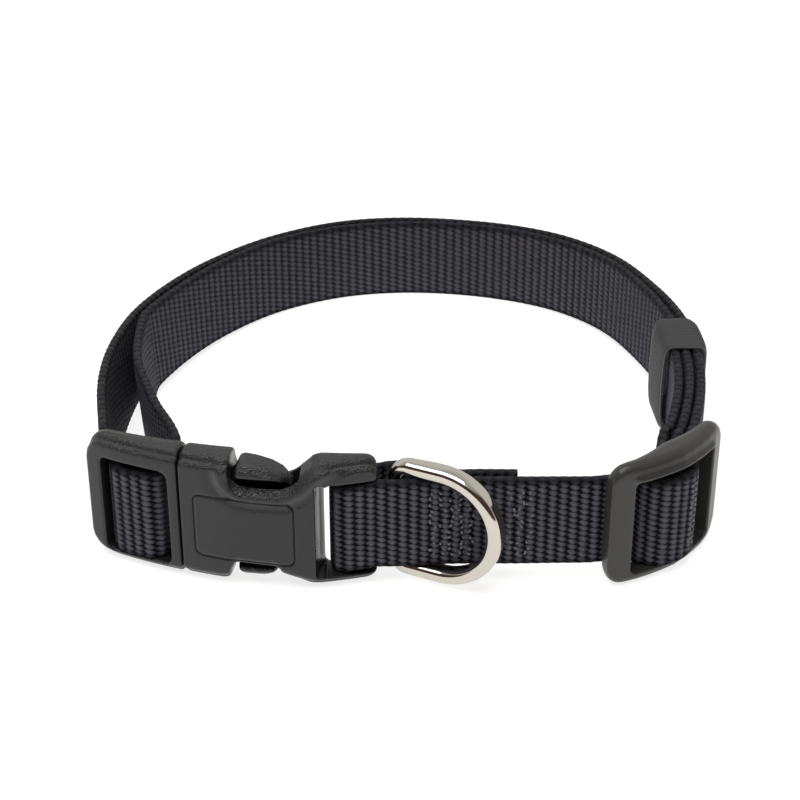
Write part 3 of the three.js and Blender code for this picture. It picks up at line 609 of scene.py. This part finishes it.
def keeper_piece():
    """The sleeve: for each place across it, a rounded rectangle round the three layers, whose cosine and
    sine are raised to a small power, outside and then back inside, so that the wall is one closed band. The
    ribs swell the outside as a cosine, and the inner side bulges."""
    low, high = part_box("keeper")
    middle = (low + high) / 2
    outer_layer = high.x - keeper_wall - keeper_slack - webbing_thickness / 2
    centre = nearest_station(outer_layer, middle.y, *webbing_pieces[1][1:])
    across_count, around_count = 97, 128
    share = np.linspace(-1, 1, across_count)
    station = centre + share * keeper_length / 2 / step_length
    numbers = np.arange(len(route["places"]))
    place = np.stack([np.interp(station, numbers, route["line"][:, k]) for k in range(2)], axis=1)
    right = np.stack([np.interp(station, numbers, route["right"][:, k]) for k in range(2)], axis=1)
    right *= 1 if right[0, 0] > 0 else -1
    low_edge = np.interp(station, numbers, route["low"])
    angle = np.linspace(0, 2 * math.pi, around_count, endpoint=False)
    out = np.sign(np.cos(angle)) * np.abs(np.cos(angle)) ** keeper_squareness
    up = np.sign(np.sin(angle)) * np.abs(np.sin(angle)) ** keeper_squareness
    bulge = keeper_bulge * np.clip(-np.cos(angle), 0, 1) * np.cos(up * 1.2)
    swell = bulge * (1.3 - 0.7 * share[:, None] ** 2)
    edge = np.clip(np.abs(share) ** 12, 0, 1)
    ribs = rib_relief * (0.5 + 0.5 * np.cos(2 * math.pi * keeper_ribs * (share + 1) / 2))
    snug = 1 - keeper_taper * np.clip((share - 0.35) / 0.65, 0, 1) ** 1.5
    out_reach = webbing_thickness / 2 + keeper_slack * snug
    in_reach = 2 * layer_pitch + out_reach
    half_out = (out_reach + in_reach) / 2
    half_up = webbing_width / 2 + keeper_slack * snug
    rings = []
    for outside in (True, False):
        if outside:
            wall = (keeper_wall * snug - rib_relief + ribs) * (1 - 0.5 * edge)
        else:
            wall = 0.2 * keeper_wall * edge
        wide = half_out + wall
        tall = half_up + wall
        aside = wide[:, None] * out + (out_reach - in_reach)[:, None] / 2 - swell
        above = low_edge[:, None] + webbing_width / 2 + tall[:, None] * up
        ground = place[:, None] + right[:, None] * aside[..., None]
        ring = np.concatenate([ground, above[..., None]], axis=-1)
        rings.append(ring if outside else ring[::-1])
    return skin("keeper_loop", np.concatenate(rings), looped=True)


def elastic_finish():
    """Ribbed elastic: dull, with the knit as a fine noise bump."""
    material, shader = finish_with("ribbed elastic", keeper_colour, keeper_roughness)
    shader.inputs["Sheen Weight"].default_value = keeper_sheen
    tree = material.node_tree
    place = tree.nodes.new("ShaderNodeTexCoord")
    knit = tree.nodes.new("ShaderNodeTexNoise")
    knit.inputs["Scale"].default_value = knit_scale
    knit.inputs["Detail"].default_value = 2
    tree.links.new(place.outputs["Object"], knit.inputs["Vector"])
    bump = tree.nodes.new("ShaderNodeBump")
    bump.inputs["Strength"].default_value = 0.5
    bump.inputs["Distance"].default_value = knit_depth
    tree.links.new(knit.outputs["Fac"], bump.inputs["Height"])
    tree.links.new(bump.outputs["Normal"], shader.inputs["Normal"])
    return material


keeper_loop = keeper_piece()
keeper_loop.data.materials.append(elastic_finish())
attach(keeper_loop, "collar")
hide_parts("keeper")


# The buckle's socket half is moulded in black acetal with a fine pebbled grain. A round bead runs along its
# top and dips round the thumb cut-out, and a thin groove frames the plain panel on its front.
buckle_bend = 105 * mm
buckle_turn = math.radians(-10.4)
buckle_length = 61.8 * mm
prong_frame_length = 21.4 * mm
ring_from_socket = 4.1 * mm
ring_set = 0.9 * mm
acetal_colour = (0.014, 0.014, 0.0145, 1)
acetal_roughness = 0.24
plastic_specular = 0.42
acetal_grain = 0.32 * mm
grain_depth = 0.13 * mm
upright_grain = 0.1
socket_voxel = 0.25 * mm
socket_rounding = 3.0 * mm
mould_rounds = 4
rounding_rounds = 16
panel_left, panel_right = 3.2 * mm, 23.5 * mm
panel_low, panel_high = 6.2 * mm, 20.9 * mm
panel_lean = -0.035
panel_corner = 1.6 * mm
panel_depth = 0.2 * mm
panel_line = 0.35 * mm
groove_reach = 0.17 * mm
groove_height = 0.3 * mm
# The groove's colour is darkened to this share of the plastic's, as painted shade in the groove.
groove_shade_share = 0.12
bead_height = 0.62 * mm
bead_width = 1.25 * mm
bead_from_cut = 1.5 * mm
valley_depth = 0.35 * mm
valley_width = 1.2 * mm
valley_from_cut = 4.0 * mm
front_from = 2.2 * mm
cut_outline = np.array(
    [
        [10.6, 30.5],
        [10.6, 27.1],
        [10.9, 25.7],
        [11.7, 24.6],
        [13.1, 23.9],
        [16.0, 23.7],
        [20.9, 23.7],
        [21.8, 24.1],
        [23.4, 24.9],
        [25.4, 26.7],
        [27.2, 28.6],
        [28.8, 29.7],
        [31.0, 31.2],
    ]
)

hinge_angle = buckle_turn + (buckle_length / 2 + ring_from_socket) / buckle_bend
hinge_normal = np.array([math.sin(hinge_angle), -math.cos(hinge_angle)])
buckle_centre = np.array(ring_hinge[:2]) - hinge_normal * (buckle_bend - ring_set)


def moulded_copy(name, node, voxel, rounds):
    """A copy of a frame node whose skin is rebuilt in small even quads and then relaxed, which gives its
    edges the small radius that a mould leaves."""
    points, triangles = merged_triangles(frame["nodes"][node])
    mesh = bpy.data.meshes.new(name)
    mesh.from_pydata(points.tolist(), [], triangles.tolist())
    piece = bpy.data.objects.new(name, mesh)
    bpy.context.scene.collection.objects.link(piece)
    rebuild = piece.modifiers.new("rebuild", "REMESH")
    rebuild.mode = "VOXEL"
    rebuild.voxel_size = voxel
    settle(piece)
    relaxed(piece, rounds)
    piece.data.name = name
    piece.data.polygons.foreach_set("use_smooth", np.ones(len(piece.data.polygons), bool))
    return piece


def settle(piece):
    """Makes what the piece's modifiers give its real mesh."""
    evaluated = piece.evaluated_get(bpy.context.evaluated_depsgraph_get())
    piece.data = bpy.data.meshes.new_from_object(evaluated)
    piece.modifiers.clear()


def relaxed(piece, rounds):
    """Moves each corner half way to the middle of its neighbours, a number of times."""
    relax = piece.modifiers.new("relax", "SMOOTH")
    relax.factor = 0.5
    relax.iterations = rounds
    settle(piece)


def read_points(piece):
    """The piece's points as an array with one row each."""
    points = np.empty(3 * len(piece.data.vertices), np.float32)
    piece.data.vertices.foreach_get("co", points)
    return points.reshape(-1, 3).astype(float)


def write_points(piece, points):
    """Puts an array of points back into the piece's mesh."""
    piece.data.vertices.foreach_set("co", points.astype(np.float32).reshape(-1))
    piece.data.update()


def on_buckle(points):
    """Places on the buckle's own curve: from the split to the right, outwards from the middle, and the
    outward directions."""
    away = points[:, :2] - buckle_centre
    reach = np.linalg.norm(away, axis=1)
    angle = np.arctan2(away[:, 0], -away[:, 1])
    along = (angle - buckle_turn) * buckle_bend + buckle_length / 2 - prong_frame_length
    return along, reach - buckle_bend, away / reach[:, None]


def distance_to_path(x, y, path):
    """The distance from each point of a plane to a path of straight stretches."""
    nearest = np.full(len(x), np.inf)
    for (x0, y0), (x1, y1) in zip(path[:-1], path[1:]):
        dx, dy = x1 - x0, y1 - y0
        t = np.clip(((x - x0) * dx + (y - y0) * dy) / (dx * dx + dy * dy), 0, 1)
        nearest = np.minimum(nearest, np.hypot(x - x0 - t * dx, y - y0 - t * dy))
    return nearest


def distance_to_panel(x, y):
    """The signed distance to the outline of the front panel, a rectangle with round corners."""
    y = y - panel_lean * (x - (panel_left + panel_right) / 2)
    out_x = np.abs(x - (panel_left + panel_right) / 2) - (panel_right - panel_left) / 2 + panel_corner
    out_y = np.abs(y - (panel_low + panel_high) / 2) - (panel_high - panel_low) / 2 + panel_corner
    outside = np.hypot(np.maximum(out_x, 0), np.maximum(out_y, 0))
    return outside + np.minimum(np.maximum(out_x, out_y), 0) - panel_corner


def round_edges(along, out, up, radius):
    """Rounds the upper and lower front edges of a moulded piece to a radius. The front face and the top are
    read from the piece itself in short lengths; near their meeting edge, the square that it fills is
    squeezed to a quarter circle by dividing by the true distance."""
    bins = ((along - along.min()) / (0.6 * mm)).astype(int)
    front = np.full(bins.max() + 1, -1.0)
    top = np.full(bins.max() + 1, -1.0)
    base = np.full(bins.max() + 1, 1.0)
    np.maximum.at(front, bins, out)
    np.maximum.at(top, bins, up)
    np.minimum.at(base, bins, up)
    new_out, new_up = out.copy(), up.copy()
    for edge, sign in ((top, 1), (base, -1)):
        ahead = (out - front[bins] + radius) / radius
        above = sign * (up - edge[bins]) / radius + 1
        inside = (ahead > 0) & (above > 0)
        squeeze = np.where(inside, np.maximum(ahead, above) / np.maximum(np.hypot(ahead, above), 1e-6), 1)
        new_out += np.where(inside, (squeeze - 1) * ahead * radius, 0)
        new_up += np.where(inside, sign * (squeeze - 1) * above * radius, 0)
    return new_out, new_up


def rounded_front(piece, radius, rounds):
    """Gives a half of the buckle its round front edges and relaxes what the squeezing leaves."""
    points = read_points(piece)
    along, out, direction = on_buckle(points)
    new_out, new_up = round_edges(along, out, points[:, 2], radius)
    points[:, :2] += direction * (new_out - out)[:, None]
    points[:, 2] = new_up
    write_points(piece, points)
    relaxed(piece, rounds)


def mark_crests(piece):
    """Stores how far the skin faces upwards: 0 on upright faces and below, and 1 where the normal's height
    is 0.4 or more."""
    normals = np.empty(3 * len(piece.data.vertices), np.float32)
    piece.data.vertex_normals.foreach_get("vector", normals)
    store_shares(piece, "crest", np.clip((normals.reshape(-1, 3)[:, 2] - 0.12) / 0.28, 0, 1))


def shape_socket(piece):
    """Raises the bead, and sinks the valley below it and the panel's frame, along the buckle's outward
    direction. Each is a bell curve of the distance to its line."""
    points = read_points(piece)
    along, out, direction = on_buckle(points)
    up = points[:, 2]
    front = np.clip((out - front_from) / (1.0 * mm), 0, 1)
    groove = panel_depth * np.exp(-((distance_to_panel(along, up) / panel_line) ** 2))
    from_cut = distance_to_path(along, up, cut_outline * mm)
    bead = bead_height * np.exp(-(((from_cut - bead_from_cut) / bead_width) ** 2))
    valley = valley_depth * np.exp(-(((from_cut - valley_from_cut) / valley_width) ** 2))
    points[:, :2] += direction * (front * (bead - valley - groove))[:, None]
    write_points(piece, points)
    store_shares(piece, "panel_edge", np.where(front > 0.5, distance_to_panel(along, up), groove_reach))


def moulded_finish(name, colour, roughness, grain_size, depth, line=None):
    """Moulded plastic: an even colour, gloss that varies slightly, and a pebbled grain as bump on the
    object's own coordinates. The grain is fullest where a piece has the crest attribute, and faint
    elsewhere. A line is a sharp groove where the named attribute is zero: a bump, with painted shade
    that darkens the colour along it."""
    material, shader = finish_with(name, colour, roughness)
    shader.inputs["Specular IOR Level"].default_value = plastic_specular
    tree = material.node_tree
    place = tree.nodes.new("ShaderNodeTexCoord")
    grain = tree.nodes.new("ShaderNodeTexVoronoi")
    grain.inputs["Scale"].default_value = 1 / grain_size
    tree.links.new(place.outputs["Object"], grain.inputs["Vector"])
    bump = tree.nodes.new("ShaderNodeBump")
    bump.inputs["Strength"].default_value = 1.0
    bump.inputs["Distance"].default_value = depth
    crest = tree.nodes.new("ShaderNodeAttribute")
    crest.attribute_name = "crest"
    pebble_share = reckon(tree, "MULTIPLY_ADD", crest.outputs["Fac"], 1 - upright_grain, upright_grain)
    height = reckon(tree, "MULTIPLY", grain.outputs["Distance"], pebble_share)
    if line:
        edge = tree.nodes.new("ShaderNodeAttribute")
        edge.attribute_name = line
        share = reckon(tree, "DIVIDE", reckon(tree, "ABSOLUTE", edge.outputs["Fac"]), groove_reach)
        share = reckon(tree, "MINIMUM", share, 1)
        share = reckon(tree, "MULTIPLY", share, share)
        height = reckon(tree, "MULTIPLY_ADD", share, groove_height / depth, height)
        # Painted shade: the colour is darkened along the groove's line.
        dark = tuple(groove_shade_share * part for part in colour[:3])
        tree.links.new(mixed(tree, share, dark, colour[:3]), shader.inputs["Base Color"])
    tree.links.new(height, bump.inputs["Height"])
    tree.links.new(bump.outputs["Normal"], shader.inputs["Normal"])
    patches = tree.nodes.new("ShaderNodeTexNoise")
    patches.inputs["Scale"].default_value = 160
    tree.links.new(place.outputs["Object"], patches.inputs["Vector"])
    gloss = tree.nodes.new("ShaderNodeMapRange")
    gloss.inputs["To Min"].default_value = roughness - 0.06
    gloss.inputs["To Max"].default_value = roughness + 0.08
    tree.links.new(patches.outputs["Fac"], gloss.inputs["Value"])
    tree.links.new(gloss.outputs["Result"], shader.inputs["Roughness"])
    return material


acetal = (acetal_colour, acetal_roughness, acetal_grain, grain_depth)
socket_material = moulded_finish("black acetal", *acetal, "panel_edge")
socket_shell = moulded_copy("socket_shell", "buckle_socket", socket_voxel, mould_rounds)
rounded_front(socket_shell, socket_rounding, rounding_rounds)
shape_socket(socket_shell)
mark_crests(socket_shell)
socket_shell.data.materials.clear()
socket_shell.data.materials.append(socket_material)
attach(socket_shell, "collar")
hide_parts("buckle_socket")


# The buckle's prong half is moulded in the same acetal. Its frame holds the webbing on a bar, and its two
# sprung prongs reach into the socket, where their thumb catches stand in the cut-outs.
prongs_voxel = 0.27 * mm
prongs_rounding = 2.6 * mm

acetal_material = moulded_finish("plain black acetal", *acetal)
prongs_shell = moulded_copy("prongs_shell", "buckle_prongs", prongs_voxel, mould_rounds)
rounded_front(prongs_shell, prongs_rounding, rounding_rounds)
mark_crests(prongs_shell)
prongs_shell.data.materials.clear()
prongs_shell.data.materials.append(acetal_material)
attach(prongs_shell, "collar")
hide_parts("buckle_prongs")


# The slide is a bowed frame with a middle bar, moulded in a slightly warmer black that is smoother than the
# buckle's. The webbing's end is sewn round its bar and the outer layer runs over it.
slide_colour = (0.032, 0.0315, 0.030, 1)
slide_roughness = 0.33
slide_grain = 0.3 * mm
slide_grain_depth = 0.03 * mm
slide_rounds = 5
slide_bend = 42.75 * mm
slide_turn = math.radians(41.2)
slide_from_hinge = np.array([57.1, 3.73]) * mm
slide_ridge = 0.8 * mm
ridge_width = 0.7 * mm
ridge_height = 25.7 * mm
ridge_reach = 12.5 * mm
slide_length = 32.6 * mm
window_from = [0, 5.6, 11.0, 32.6]
window_to = [0, 5.0, 10.8, 32.6]
slide_voxel = 0.25 * mm

slide_finish = (slide_colour, slide_roughness, slide_grain, slide_grain_depth)
slide_material = moulded_finish("slide plastic", *slide_finish)
slide_shell = moulded_copy("slide_shell", "slide", slide_voxel, slide_rounds)
slide_normal = np.array([math.sin(slide_turn), -math.cos(slide_turn)])
slide_centre = np.array(ring_hinge[:2]) + slide_from_hinge - slide_normal * slide_bend
slide_points = read_points(slide_shell)
slide_away = slide_points[:, :2] - slide_centre
slide_reach = np.linalg.norm(slide_away, axis=1)
slide_angle = np.arctan2(slide_away[:, 0], -slide_away[:, 1])
slide_along = (slide_angle - slide_turn) * slide_bend + slide_length / 2
slide_along = np.interp(slide_along / mm, window_from, window_to) * mm
slide_angle = (slide_along - slide_length / 2) / slide_bend + slide_turn
front_share = np.clip((slide_reach - slide_bend) / (1.5 * mm), 0, 1)
inward_share = np.clip((ridge_reach - np.abs(slide_along - slide_length / 2)) / (2.5 * mm), 0, 1)
ridge = np.exp(-(((slide_points[:, 2] - ridge_height) / ridge_width) ** 2))
slide_reach = slide_reach + slide_ridge * front_share * inward_share * ridge
slide_points[:, 0] = slide_centre[0] + slide_reach * np.sin(slide_angle)
slide_points[:, 1] = slide_centre[1] - slide_reach * np.cos(slide_angle)
write_points(slide_shell, slide_points)
slide_shell.data.materials.clear()
slide_shell.data.materials.append(slide_material)
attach(slide_shell, "collar")
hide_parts("slide")


# The D-ring is bent from flattened steel wire, welded and plated with bright nickel. Its straight bar lies in
# the sewn pocket and it swings on it, resting here against the front of the webbing.
ring_opening_height = 21.4 * mm
ring_opening_depth = 19.1 * mm
ring_wire = 3.1 * mm
ring_wire_depth = 3.6 * mm
ring_wire_corner = 1.3 * mm
ring_extra_depth = 0.8 * mm
ring_bar_corner = 3.0 * mm
ring_swing = math.radians(25)
nickel_colour = (0.56, 0.53, 0.47, 1)
nickel_roughness = (0.06, 0.16)
dent_scale = 260
dent_depth = 0.06 * mm


def ring_outline(count):
    """The ring's middle line in its own plane, reach and height, at even steps: the bar, two quarter circles,
    two straight legs and a half circle, and the inward directions."""
    half = (ring_opening_height + ring_wire) / 2
    bow_start = ring_opening_depth + ring_wire - half
    stretches = [
        ("line", (0, 0), (0, -(half - ring_bar_corner))),
        ("arc", (ring_bar_corner, -(half - ring_bar_corner)), ring_bar_corner, math.pi, 1.5 * math.pi),
        ("line", (ring_bar_corner, -half), (bow_start, -half)),
        ("arc", (bow_start, 0), half, -math.pi / 2, math.pi / 2),
        ("line", (bow_start, half), (ring_bar_corner, half)),
        ("arc", (ring_bar_corner, half - ring_bar_corner), ring_bar_corner, math.pi / 2, math.pi),
        ("line", (0, half - ring_bar_corner), (0, 0)),
    ]
    fine = []
    for kind, *facts in stretches:
        t = np.linspace(0, 1, 200, endpoint=False)[:, None]
        if kind == "line":
            start, end = np.array(facts[0]), np.array(facts[1])
            fine.append(start + t * (end - start))
        else:
            centre, radius, first, last = facts
            angle = first + t * (last - first)
            fine.append(np.array(centre) + radius * np.concatenate([np.cos(angle), np.sin(angle)], axis=1))
    fine = np.concatenate(fine)
    closed = np.concatenate([fine, fine[:1]])
    lengths = np.concatenate([[0], np.cumsum(np.linalg.norm(np.diff(closed, axis=0), axis=1))])
    places = np.linspace(0, lengths[-1], count, endpoint=False)
    line = np.stack([np.interp(places, lengths, closed[:, k]) for k in range(2)], axis=1)
    way = np.roll(line, -1, axis=0) - np.roll(line, 1, axis=0)
    way /= np.linalg.norm(way, axis=1)[:, None]
    return line, np.stack([-way[:, 1], way[:, 0]], axis=1)


def ring_piece():
    """The wire's rounded rectangular section, carried round the outline and swung about the hinge."""
    line, inward = ring_outline(320)
    angle = np.linspace(0, 2 * math.pi, 40, endpoint=False)
    corner = np.array([ring_wire / 2 - ring_wire_corner, ring_wire_depth / 2 - ring_wire_corner])
    section = np.stack([np.cos(angle), np.sin(angle)], axis=1)
    section = corner * np.sign(section.round(9)) + ring_wire_corner * section
    reach = line[:, None, 0] + inward[:, None, 0] * section[None, :, 0]
    height = line[:, None, 1] + inward[:, None, 1] * section[None, :, 0]
    behind = np.where(section[None, :, 1] > 0, 1, 0) * np.clip(line[:, None, 0] / (8 * mm), 0, 1)
    deep = section[None, :, 1] + behind * ring_extra_depth
    x = ring_hinge.x + reach * math.cos(ring_swing) + deep * math.sin(ring_swing)
    y = ring_hinge.y - reach * math.sin(ring_swing) + deep * math.cos(ring_swing)
    z = ring_hinge.z + height
    return skin("nickel_ring", np.stack([x, y, z], axis=-1), looped=True)


def nickel_finish():
    """Bright nickel plate with the faint unevenness of tumbled wire."""
    material, shader = finish_with("bright nickel", nickel_colour, 0.1, 1.0)
    tree = material.node_tree
    place = tree.nodes.new("ShaderNodeTexCoord")
    dents = tree.nodes.new("ShaderNodeTexNoise")
    dents.inputs["Scale"].default_value = dent_scale
    dents.inputs["Detail"].default_value = 3
    tree.links.new(place.outputs["Object"], dents.inputs["Vector"])
    bump = tree.nodes.new("ShaderNodeBump")
    bump.inputs["Strength"].default_value = 0.2
    bump.inputs["Distance"].default_value = dent_depth
    tree.links.new(dents.outputs["Fac"], bump.inputs["Height"])
    tree.links.new(bump.outputs["Normal"], shader.inputs["Normal"])
    gloss = tree.nodes.new("ShaderNodeMapRange")
    gloss.inputs["To Min"].default_value = nickel_roughness[0]
    gloss.inputs["To Max"].default_value = nickel_roughness[1]
    tree.links.new(dents.outputs["Fac"], gloss.inputs["Value"])
    tree.links.new(gloss.outputs["Result"], shader.inputs["Roughness"])
    return material


nickel_ring = ring_piece()
nickel_ring.data.materials.append(nickel_finish())
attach(nickel_ring, "ring")
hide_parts("d_ring")

bpy.context.view_layer.update()
